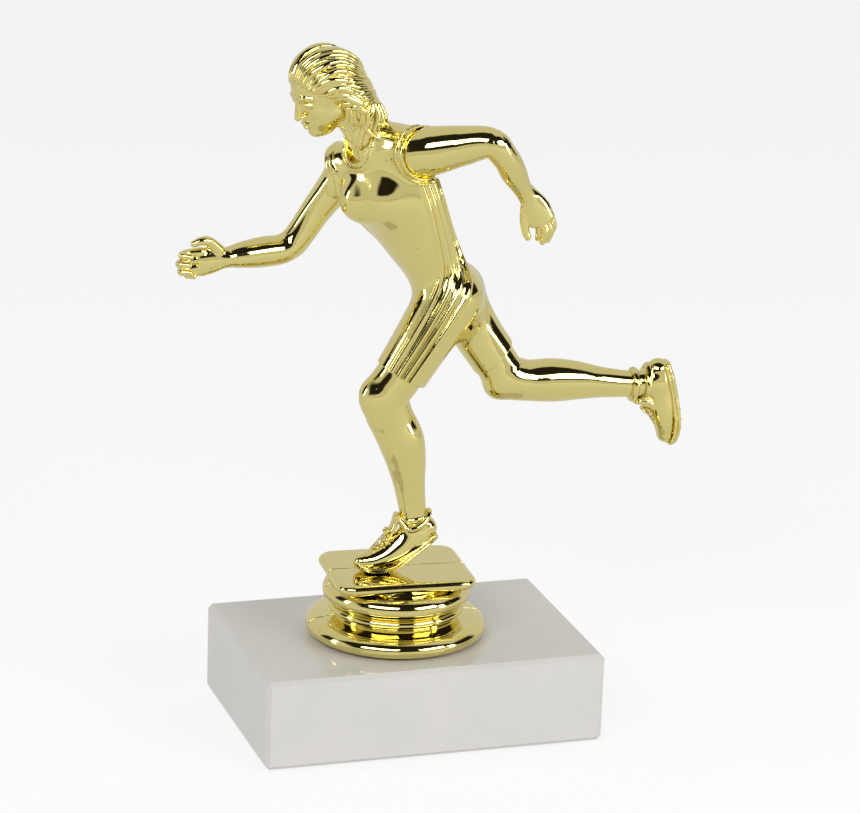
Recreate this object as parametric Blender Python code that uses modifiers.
"""A running-figure trophy: a gilt plastic runner on a turned plinth, bolted to a marble block.

The figure is moulded as two half shells, near and far, that meet on a parting surface.  They trap a
hex nut in the boss of the hollow plinth.  A stud runs from that nut down through the block to a
washer and a second nut in a counterbore, and four felt pads carry the block.

The figure is laid out in its own frame, in millimetres: its origin is where the stud's axis meets the
top of the block, -X is the way the runner runs, -Y is the runner's left and +Z is up.
"""

from math import asin, cos, pi, radians, sin

import bmesh
import bpy
import numpy as np
from mathutils import Matrix, Vector

MM = 0.001  # every piece is modelled in millimetres and scaled to metres when it is finished

# Marble block
BLOCK_LENGTH, BLOCK_WIDTH, BLOCK_HEIGHT = 76.2, 50.8, 20.0
BLOCK_CHAMFER = 0.9
PAD_RADIUS, PAD_HEIGHT, PAD_INSET = 5.0, 0.8, 9.0

# Where things stand: the origin is under the middle of the whole trophy's footprint
STUD_X, STUD_Y = -9.0, -1.2
BLOCK_X = STUD_X + 2.5
FIGURE_TURN = radians(-3.3)
BLOCK_TOP = PAD_HEIGHT + BLOCK_HEIGHT

# Quarter-inch fastening
STUD_RADIUS, HOLE_RADIUS = 3.175, 4.0
NUT_ACROSS_FLATS, NUT_HEIGHT = 11.1, 5.5
WASHER_RADIUS, WASHER_HEIGHT = 9.5, 1.2
COUNTERBORE_RADIUS, COUNTERBORE_DEPTH = 11.0, 9.0
STUD_BELOW, STUD_ABOVE = 19.0, 11.0
GAP = 0.3  # left between neighbouring pieces

# Plinth
PLATE_LENGTH, PLATE_WIDTH, PLATE_HEIGHT = 31.0, 25.0, 2.4
PLATE_CORNER, PLATE_TOP = 4.0, 15.4
FOOT_RADIUS, RING_RADIUS = 19.4, 16.0
BOSS_RADIUS, BOSS_FOOT = 8.6, 1.0
NUT_FLOOR = 3.0
WALL = 1.6

# Figure surface
VOXEL = 0.6
FIGURE_TRIANGLES = 4400
SIDES = 20

# Colours: base colour, roughness, metallic
GILT = (0.86, 0.76, 0.38), 0.12, 1.0
STEEL = (0.62, 0.62, 0.63), 0.35, 1.0
MARBLE = (0.86, 0.85, 0.82), 0.25, 0.0
FELT = (0.05, 0.06, 0.06), 0.95, 0.0


# ---------------------------------------------------------------- helpers


def material(name, finish):
    colour, roughness, metallic = finish
    made = bpy.data.materials.new(name)
    made.use_nodes = True
    shader = made.node_tree.nodes["Principled BSDF"]
    shader.inputs["Base Color"].default_value = (*colour, 1.0)
    shader.inputs["Roughness"].default_value = roughness
    shader.inputs["Metallic"].default_value = metallic
    return made


def add_object(name, mesh, collection):
    made = bpy.data.objects.new(name, mesh)
    collection.objects.link(made)
    return made


def cutter(name, mesh):
    made = add_object(name, mesh, cutters)
    made.hide_render = True
    made.display_type = "WIRE"
    return made


def mesh_from(name, shape):
    """The bmesh as a mesh with its normals facing out."""
    bmesh.ops.recalc_face_normals(shape, faces=shape.faces)
    made = bpy.data.meshes.new(name)
    shape.to_mesh(made)
    shape.free()
    return made


def box(name, size, centre):
    shape = bmesh.new()
    bmesh.ops.create_cube(shape, size=1.0)
    bmesh.ops.scale(shape, vec=size, verts=shape.verts)
    bmesh.ops.translate(shape, vec=centre, verts=shape.verts)
    return mesh_from(name, shape)


def drum(name, radius, bottom, top, sides=48):
    """A cylinder on the Z axis; with six sides it is a hexagonal prism."""
    shape = bmesh.new()
    bmesh.ops.create_cone(
        shape, cap_ends=True, segments=sides, radius1=radius, radius2=radius, depth=top - bottom
    )
    bmesh.ops.translate(shape, vec=(0, 0, (top + bottom) / 2), verts=shape.verts)
    return mesh_from(name, shape)


def ball(centre, radii, tilt=0.0):
    """An ellipsoid, tilted forward about the Y axis."""
    shape = bmesh.new()
    bmesh.ops.create_uvsphere(shape, u_segments=24, v_segments=16, radius=1.0)
    bmesh.ops.scale(shape, vec=radii, verts=shape.verts)
    bmesh.ops.rotate(shape, matrix=Matrix.Rotation(-tilt, 3, "Y"), verts=shape.verts)
    bmesh.ops.translate(shape, vec=centre, verts=shape.verts)
    return mesh_from("ball", shape)


def boolean(target, operation, tool):
    made = target.modifiers.new(f"{operation.lower()} {tool.name}", "BOOLEAN")
    made.operation = operation
    made.object = tool
    made.solver = "EXACT"


def realised(source, name):
    """The object's evaluated mesh, with its modifiers turned into geometry."""
    bpy.context.view_layer.update()
    graph = bpy.context.evaluated_depsgraph_get()
    made = bpy.data.meshes.new_from_object(source.evaluated_get(graph))
    made.name = name
    return made


def finished(piece, finish, parent=None, angle=35):
    """Turn a piece's modifiers into geometry, scale it to metres, colour it and shade it."""
    piece.data = realised(piece, piece.name)
    piece.modifiers.clear()
    piece.data.transform(Matrix.Scale(MM, 4))
    piece.data.materials.append(finish)
    piece.data.shade_smooth()
    piece.data.set_sharp_from_angle(angle=radians(angle))
    piece.parent = parent


def hexagon_radius(across_flats):
    return across_flats / 2 / cos(pi / 6)


# ---------------------------------------------------------------- lofted limbs


def between(stations, steps=5):
    """Catmull-Rom points through the stations, so that a limb swells and narrows smoothly."""
    rows = [np.array(s, float) for s in stations]
    rows = [2 * rows[0] - rows[1], *rows, 2 * rows[-1] - rows[-2]]
    found = []
    for a, b, c, d in zip(rows, rows[1:], rows[2:], rows[3:]):
        for i in range(steps):
            t = i / steps
            found.append(
                0.5 * (2 * b + (c - a) * t + (2 * a - 5 * b + 4 * c - d) * t**2
                       + (3 * b - a - 3 * c + d) * t**3)
            )
    found.append(rows[-2])
    return found


def limb(stations, side=(0, 1, 0)):
    """A closed loft.  A station is x, y, z, half width along side, half depth across it, twist in degrees.

    The last two may be left out, for a round and untwisted limb.  Both ends are domed.
    """
    full = [(*s, s[3], 0.0) if len(s) == 4 else ((*s, 0.0) if len(s) == 5 else s) for s in stations]
    rows = between(full)
    centres = [Vector(row[:3]) for row in rows]
    shape = bmesh.new()
    rings = []
    for i, row in enumerate(rows):
        along = (centres[min(i + 1, len(rows) - 1)] - centres[max(i - 1, 0)]).normalized()
        across = (Vector(side) - along * along.dot(Vector(side))).normalized()
        across.rotate(Matrix.Rotation(radians(row[5]), 3, along))
        front = along.cross(across)
        ends = []
        if i == 0:
            ends = [(-0.9, 0.44), (-0.6, 0.8)]
        ends.append((0.0, 1.0))
        if i == len(rows) - 1:
            ends += [(0.6, 0.8), (0.9, 0.44)]
        for push, share in ends:
            reach = min(row[3], row[4]) * push
            rings.append([
                shape.verts.new(centres[i] + along * reach
                                + across * row[3] * share * cos(2 * pi * k / SIDES)
                                + front * row[4] * share * sin(2 * pi * k / SIDES))
                for k in range(SIDES)
            ])
    for low, high in zip(rings, rings[1:]):
        for k in range(SIDES):
            j = (k + 1) % SIDES
            shape.faces.new((low[k], low[j], high[j], high[k]))
    shape.faces.new(rings[0][::-1])
    shape.faces.new(rings[-1])
    return mesh_from("limb", shape)


# ---------------------------------------------------------------- the runner's skeleton and flesh

TORSO = [
    (12.0, 0.4, 71.5, 7.0, 5.4, -20),
    (10.4, 0.2, 76.5, 8.4, 6.6, -18),
    (6.2, 0.0, 83.0, 7.4, 5.6, 0),
    (2.0, -0.2, 89.8, 8.4, 6.0, 20),
    (-3.0, -0.4, 99.0, 10.2, 7.0, 34),
    (-6.0, -0.4, 106.5, 9.8, 5.4, 38),
    (-7.8, 0.0, 111.0, 5.6, 4.2, 38),
]
TORSO_CORE = [
    (10.0, 0.2, 77.5, 5.4, 4.2, -18),
    (6.2, 0.0, 83.0, 4.8, 3.2, 0),
    (2.0, -0.2, 89.8, 5.8, 3.6, 20),
    (-2.8, -0.4, 98.6, 7.2, 4.4, 34),
    (-5.4, -0.4, 104.5, 6.4, 3.0, 38),
]
SHOULDERS = [(-12.0, 7.4, 104.2, 4.4), (-7.0, 0.6, 109.2, 3.6), (-4.4, -3.6, 111.4, 4.0), (-0.6, -8.4, 110.4, 4.7)]
LEFT_BUST = [(-4.6, -5.4, 100.6, 3.4), (-5.6, -6.6, 98.8, 3.6)]
RIGHT_BUST = [(-9.6, 0.2, 100.6, 3.6), (-11.8, 0.0, 98.6, 3.8)]
NECK = [(-8.0, 0.2, 109.0, 4.0), (-13.4, 0.0, 117.0, 3.7)]
LEFT_ARM = [
    (-0.4, -8.4, 110.2, 4.8),
    (2.2, -10.4, 110.9, 4.6),
    (8.0, -14.2, 112.4, 3.9),
    (13.8, -17.6, 113.4, 3.2),
    (16.2, -17.0, 110.0, 2.8),
    (18.7, -15.0, 106.2, 2.5),
    (21.8, -12.8, 101.2, 1.9),
]
LEFT_PALM = [(21.8, -12.8, 101.2, 1.9, 2.0), (24.2, -12.8, 97.4, 1.7, 3.1), (25.7, -12.8, 94.2, 1.5, 3.1)]
LEFT_FINGERS = [(26.0, -12.8, 94.4, 1.4, 2.7), (27.0, -12.4, 91.6, 1.2, 2.2), (26.8, -12.0, 89.8, 0.9, 1.4)]
LEFT_THUMB = [(23.0, -12.6, 97.6, 1.4), (22.2, -12.4, 94.0, 1.1), (22.2, -12.4, 91.4, 0.9)]
RIGHT_ARM = [
    (-11.2, 7.6, 103.6, 4.4),
    (-13.0, 8.4, 100.6, 4.0),
    (-17.6, 10.2, 93.6, 3.4),
    (-22.0, 10.8, 86.8, 3.2),
    (-28.4, 10.2, 85.0, 3.4),
    (-33.4, 9.2, 84.6, 3.0),
    (-37.8, 8.0, 84.4, 2.3),
]
RIGHT_PALM = [(-37.8, 8.0, 84.4, 1.9, 2.4), (-41.4, 7.4, 84.2, 1.9, 3.3), (-44.2, 7.0, 83.8, 1.8, 3.2)]
RIGHT_FINGERS = [(-44.2, 6.6, 83.8, 1.7, 3.1), (-47.0, 5.4, 83.6, 1.4, 2.9), (-46.2, 3.8, 83.8, 1.1, 2.7)]
RIGHT_THUMB = [(-39.8, 7.0, 86.2, 1.5), (-42.4, 6.6, 88.6, 1.2), (-44.6, 6.4, 88.2, 0.9)]
LEFT_SHORTS_LEG = [
    (8.6, -3.6, 77.0, 6.4, 6.6),
    (5.0, -4.3, 71.4, 6.2, 6.2),
    (1.6, -4.5, 66.0, 5.9, 5.9),
    (-1.8, -4.5, 61.2, 5.3, 5.5),
]
RIGHT_SHORTS_LEG = [
    (12.0, 3.8, 76.4, 6.0, 6.0),
    (14.4, 4.2, 71.6, 5.6, 5.7),
    (17.6, 4.4, 66.4, 5.2, 5.3),
    (21.0, 4.4, 61.4, 4.9, 5.0),
]
LEFT_LEG = [
    (3.2, -4.5, 67.8, 5.0),
    (-1.8, -4.4, 60.4, 5.0),
    (-5.0, -4.0, 54.8, 5.2),
    (-3.0, -3.7, 50.4, 5.1),
    (-0.8, -3.4, 45.6, 4.9),
    (1.3, -2.8, 36.0, 3.6),
    (2.7, -2.2, 27.6, 2.9),
]
RIGHT_LEG = [
    (17.6, 4.4, 66.0, 4.7),
    (21.4, 4.3, 60.4, 4.6),
    (24.6, 4.0, 56.0, 4.6),
    (29.6, 4.1, 55.2, 4.6),
    (35.0, 4.2, 55.0, 4.7),
    (44.0, 4.6, 54.0, 3.9),
    (53.7, 5.0, 52.9, 3.0),
]
LEFT_SHOE = [
    (6.2, -2.1, 24.0, 3.0, 3.4),
    (4.2, -2.1, 21.4, 3.2, 4.0),
    (0.6, -2.1, 18.6, 3.3, 3.6),
    (-3.6, -2.1, 17.3, 3.5, 2.6),
    (-7.0, -2.1, 16.6, 2.9, 2.1),
]
RIGHT_SHOE = [
    (59.0, 5.0, 56.0, 3.0, 3.4),
    (60.4, 5.0, 52.0, 3.1, 4.4),
    (62.2, 5.0, 47.4, 3.3, 3.4),
    (63.6, 5.0, 43.2, 3.2, 2.5),
    (64.0, 5.0, 40.4, 2.6, 2.0),
]
HEAD_TILT = radians(22)
HEAD_CENTRE, HEAD_RADII = (-17.6, 0.0, 121.6), (6.9, 6.3, 8.8)
CHIN = [(-18.6, 0.0, 117.6, 4.2, 4.2), (-20.4, 0.0, 114.9, 2.5, 2.4)]
NOSE = [(-23.4, 0.0, 121.4, 0.8), (-24.4, 0.0, 118.7, 1.1)]
HAIR_CENTRE, HAIR_RADII = (-18.4, 0.0, 125.2), (8.5, 7.2, 7.2)
HAIR_BACK = [
    (-15.0, 0.0, 124.4, 6.4, 4.8),
    (-11.8, 0.0, 120.0, 5.8, 4.6),
    (-9.4, 0.0, 115.6, 4.8, 3.8),
    (-8.8, 0.0, 112.4, 3.4, 2.6),
]
BONES = (
    TORSO, SHOULDERS, NECK, HAIR_BACK,
    LEFT_ARM, LEFT_PALM, LEFT_FINGERS, LEFT_THUMB,
    RIGHT_ARM, RIGHT_PALM, RIGHT_FINGERS, RIGHT_THUMB,
    LEFT_SHORTS_LEG, LEFT_LEG, LEFT_SHOE,
    RIGHT_SHORTS_LEG, RIGHT_LEG, RIGHT_SHOE,
)
FEATURES = (LEFT_BUST, RIGHT_BUST, CHIN, NOSE)


def runner_flesh():
    """The runner as overlapping closed lofts, fused by a voxel remesh and thinned to a set size."""
    lumps = [limb(stations) for stations in (*BONES, *FEATURES)]
    lumps.append(ball(HEAD_CENTRE, HEAD_RADII, HEAD_TILT))
    lumps.append(ball(HAIR_CENTRE, HAIR_RADII, HEAD_TILT))
    joined = bmesh.new()
    for mesh in lumps:
        joined.from_mesh(mesh)
    mesh = bpy.data.meshes.new("runner_flesh")
    joined.to_mesh(mesh)
    joined.free()
    flesh = add_object("runner_flesh", mesh, cutters)
    flesh.hide_render = True
    remesh = flesh.modifiers.new("fuse", "REMESH")
    remesh.mode = "VOXEL"
    remesh.voxel_size = VOXEL
    soften = flesh.modifiers.new("soften", "SMOOTH")
    soften.factor = 0.5
    soften.iterations = 4
    whole = realised(flesh, "counted")
    whole.calc_loop_triangles()
    thin = flesh.modifiers.new("thin", "DECIMATE")
    thin.ratio = FIGURE_TRIANGLES / len(whole.loop_triangles)
    return flesh


# ---------------------------------------------------------------- the plinth


def arc(radius, height, half, start, stop, steps):
    """Points of a bead on the turned profile: an arc of a circle of radius half, in degrees."""
    angles = [radians(start + (stop - start) * i / steps) for i in range(steps + 1)]
    return [(radius - half + half * cos(a), height + half * sin(a)) for a in angles]


def plinth_profile():
    """The turned outline from the top of the neck down its outer side to the foot's underside."""
    return [
        (0.0, PLATE_TOP - PLATE_HEIGHT + 0.8),
        (12.4, PLATE_TOP - PLATE_HEIGHT + 0.8),
        (12.8, 12.4),
        *arc(RING_RADIUS, 10.2, 2.0, 75, -60, 6),
        (14.0, 8.3),
        *arc(14.7, 7.4, 0.9, 60, -60, 3),
        (13.6, 6.4),
        (13.4, 5.6),
        (14.4, 4.9),
        (16.6, 4.3),
        *arc(FOOT_RADIUS, 2.0, 1.9, 60, -60, 4),
        (FOOT_RADIUS - 1.6, GAP),
        (0.0, GAP),
    ]


def cavity_profile():
    """The hollow under the plinth, between its wall and the boss, open at the bottom."""
    inner, ceiling = BOSS_RADIUS, PLATE_TOP - PLATE_HEIGHT - WALL
    return [
        (inner, ceiling),
        (RING_RADIUS - 3.4 - WALL, ceiling),
        (RING_RADIUS - 3.4 - WALL, 5.0),
        (FOOT_RADIUS - 3.0 - WALL, 3.2),
        (FOOT_RADIUS - 3.0 - WALL, -2.0),
        (inner, -2.0),
    ]


def turned(name, profile, closed, steps=36):
    """The profile, as radius and height, turned about the Z axis."""
    mesh = bpy.data.meshes.new(name)
    points = [(r, 0.0, z) for r, z in profile]
    edges = [(i, i + 1) for i in range(len(points) - 1)]
    if closed:
        edges.append((len(points) - 1, 0))
    mesh.from_pydata(points, edges, [])
    made = cutter(name, mesh)
    screw = made.modifiers.new("turn", "SCREW")
    screw.axis = "Z"
    screw.angle = 2 * pi
    screw.steps = screw.render_steps = steps
    screw.use_merge_vertices = True
    screw.merge_threshold = 1e-5
    made.data = realised(made, name)
    made.modifiers.clear()
    shape = bmesh.new()
    shape.from_mesh(made.data)
    bmesh.ops.remove_doubles(shape, verts=shape.verts, dist=1e-4)
    bmesh.ops.recalc_face_normals(shape, faces=shape.faces)
    shape.to_mesh(made.data)
    shape.free()
    return made


def plate():
    """The bullnosed oblong plate under the shoe: a rounded outline with a Bevel on its edges."""
    length, width = PLATE_LENGTH / 2 - PLATE_CORNER, PLATE_WIDTH / 2 - PLATE_CORNER
    corners = [(length, width, 0), (-length, width, 90), (-length, -width, 180), (length, -width, 270)]
    outline = [
        (x + PLATE_CORNER * cos(radians(start + 15 * i)), y + PLATE_CORNER * sin(radians(start + 15 * i)))
        for x, y, start in corners
        for i in range(7)
    ]
    shape = bmesh.new()
    ring = [shape.verts.new((x, y, PLATE_TOP - PLATE_HEIGHT)) for x, y in outline]
    face = shape.faces.new(ring)
    raised = bmesh.ops.extrude_face_region(shape, geom=[face])["geom"]
    lifted = [g for g in raised if isinstance(g, bmesh.types.BMVert)]
    bmesh.ops.translate(shape, vec=(0, 0, PLATE_HEIGHT), verts=lifted)
    rims = [e for e in shape.edges if abs(e.verts[0].co.z - e.verts[1].co.z) < 1e-6]
    bmesh.ops.bevel(
        shape, geom=rims, offset=PLATE_HEIGHT * 0.42, segments=3, profile=0.5, affect="EDGES"
    )
    return cutter("plate", mesh_from("plate", shape))


# ---------------------------------------------------------------- the parting surface


def parting_points():
    """Places on the figure's middle line: along every bone, and down the middle of the plinth."""
    found = [row[:3] for stations in BONES for row in between(stations, 4)]
    found += [(x, 0.0, z) for x in range(-20, 21, 4) for z in (0, 4, 8, 12, 15)]
    return np.array(found)


def parting_height(x, z, places):
    """The parting surface's Y at x and z: the nearby bones' Y, weighted by nearness."""
    near = 1 / ((places[:, 0] - x) ** 2 + (places[:, 2] - z) ** 2 + 2.0) ** 2.5
    return float((near * places[:, 1]).sum() / near.sum())


def parting_block(name, direction):
    """A closed block on one side of the parting surface: +1 is the far side and -1 the near side."""
    places = parting_points()
    reach, step = 60.0, 4.5
    left, right, bottom, top = -54.0, 72.0, -6.0, 138.0
    columns, rows = round((right - left) / step), round((top - bottom) / step)
    shape = bmesh.new()
    grid = {}
    for i in range(columns + 1):
        for j in range(rows + 1):
            x, z = left + i * step, bottom + j * step
            y = parting_height(x, z, places) + direction * -GAP / 2
            grid[i, j] = shape.verts.new((x, y, z))
    for i in range(columns):
        for j in range(rows):
            shape.faces.new((grid[i, j], grid[i + 1, j], grid[i + 1, j + 1]))
            shape.faces.new((grid[i, j], grid[i + 1, j + 1], grid[i, j + 1]))
    pulled = bmesh.ops.extrude_face_region(shape, geom=shape.faces[:])["geom"]
    for vertex in (g for g in pulled if isinstance(g, bmesh.types.BMVert)):
        vertex.co.y = direction * reach
    return cutter(name, mesh_from(name, shape))


# ---------------------------------------------------------------- assemblies


def hollow_plinth():
    """The plate on its turned plinth, hollow underneath, with a boss that has a pocket for the nut."""
    plinth = turned("plinth", plinth_profile(), closed=False)
    pocket_radius = hexagon_radius(NUT_ACROSS_FLATS + 2 * GAP)
    pocket_top = NUT_FLOOR + NUT_HEIGHT + GAP
    boolean(plinth, "UNION", plate())
    boolean(plinth, "DIFFERENCE", turned("hollow", cavity_profile(), closed=True))
    for name, radius, bottom, top, sides in (
        ("boss_end", BOSS_RADIUS + 0.5, -3.0, BOSS_FOOT, 40),
        ("stud_clearance", STUD_RADIUS + GAP, -4.0, STUD_ABOVE + GAP, 24),
        ("nut_pocket", pocket_radius, NUT_FLOOR - GAP, pocket_top, 6),
    ):
        boolean(plinth, "DIFFERENCE", cutter(name, drum(name, radius, bottom, top, sides)))
    return plinth


def whole_figure():
    """The hollow runner standing on the plinth, all one."""
    figure = cutter("whole_figure", realised(runner_flesh(), "whole_figure"))
    boolean(figure, "DIFFERENCE", cutter("torso_core", limb(TORSO_CORE)))
    boolean(figure, "UNION", hollow_plinth())
    return realised(figure, "whole_figure")


def figure_halves(axis):
    whole = whole_figure()
    gilt = material("gilt_plastic", GILT)
    for name, direction in (("figure_near_half", 1), ("figure_far_half", -1)):
        half = add_object(name, whole.copy(), trophy)
        boolean(half, "DIFFERENCE", parting_block(f"behind_{name}", direction))
        finished(half, gilt, axis)


def bored(name, shape, bottom, top):
    """The shape as a piece of the trophy, with a hole through it that clears the stud."""
    made = add_object(name, shape, trophy)
    hole = drum(f"{name}_hole", STUD_RADIUS + GAP, bottom - 1, top + 1, 24)
    boolean(made, "DIFFERENCE", cutter(f"{name}_hole", hole))
    return made


def fastening(axis):
    """Trapped nut, stud, washer and base nut, all on the figure's axis."""
    steel = material("zinc_plated_steel", STEEL)
    seat = COUNTERBORE_DEPTH - BLOCK_HEIGHT - GAP
    under = seat - WASHER_HEIGHT - GAP
    pieces = [add_object("stud", drum("stud", STUD_RADIUS, -STUD_BELOW, STUD_ABOVE, 24), trophy)]
    for name, radius, bottom, top, sides in (
        ("captive_nut", hexagon_radius(NUT_ACROSS_FLATS), NUT_FLOOR, NUT_FLOOR + NUT_HEIGHT, 6),
        ("base_nut", hexagon_radius(NUT_ACROSS_FLATS), under - NUT_HEIGHT, under, 6),
        ("washer", WASHER_RADIUS, seat - WASHER_HEIGHT, seat, 40),
    ):
        pieces.append(bored(name, drum(name, radius, bottom, top, sides), bottom, top))
    for piece in pieces:
        finished(piece, steel, axis)


def marble_block():
    """The chamfered block, drilled for the stud and counterbored for the nut and washer."""
    centre = (BLOCK_X, 0, PAD_HEIGHT + BLOCK_HEIGHT / 2)
    size = (BLOCK_LENGTH, BLOCK_WIDTH, BLOCK_HEIGHT)
    block = add_object("marble_base", box("marble_base", size, centre), trophy)
    chamfer = block.modifiers.new("chamfer", "BEVEL")
    chamfer.width = BLOCK_CHAMFER
    chamfer.segments = 1
    for name, radius, top, sides in (
        ("stud_hole", HOLE_RADIUS, BLOCK_TOP + 1, 32),
        ("counterbore", COUNTERBORE_RADIUS, PAD_HEIGHT + COUNTERBORE_DEPTH, 48),
    ):
        tool = cutter(name, drum(name, radius, -1.0 - HOLE_RADIUS / radius, top, sides))
        tool.location = (STUD_X, STUD_Y, 0)
        boolean(block, "DIFFERENCE", tool)
    finished(block, material("white_marble", MARBLE), angle=20)


def felt_pads():
    felt = material("dark_felt", FELT)
    across, deep = BLOCK_LENGTH / 2 - PAD_INSET, BLOCK_WIDTH / 2 - PAD_INSET
    for i, (x, y) in enumerate(((-1, -1), (1, -1), (-1, 1), (1, 1)), 1):
        disc = drum("felt_pad", PAD_RADIUS, 0.0, PAD_HEIGHT - GAP / 2, 32)
        disc.transform(Matrix.Translation((BLOCK_X + x * across, y * deep, 0)))
        finished(add_object(f"felt_pad_{i}", disc, trophy), felt)


for old in list(bpy.data.objects):
    bpy.data.objects.remove(old)
trophy = bpy.data.collections.new("figure_trophy")
cutters = bpy.data.collections.new("cutters")
bpy.context.scene.collection.children.link(trophy)
bpy.context.scene.collection.children.link(cutters)

figure_axis = bpy.data.objects.new("figure_axis", None)
trophy.objects.link(figure_axis)
figure_axis.location = (STUD_X * MM, STUD_Y * MM, BLOCK_TOP * MM)
figure_axis.rotation_euler.z = FIGURE_TURN

marble_block()
felt_pads()
fastening(figure_axis)
figure_halves(figure_axis)
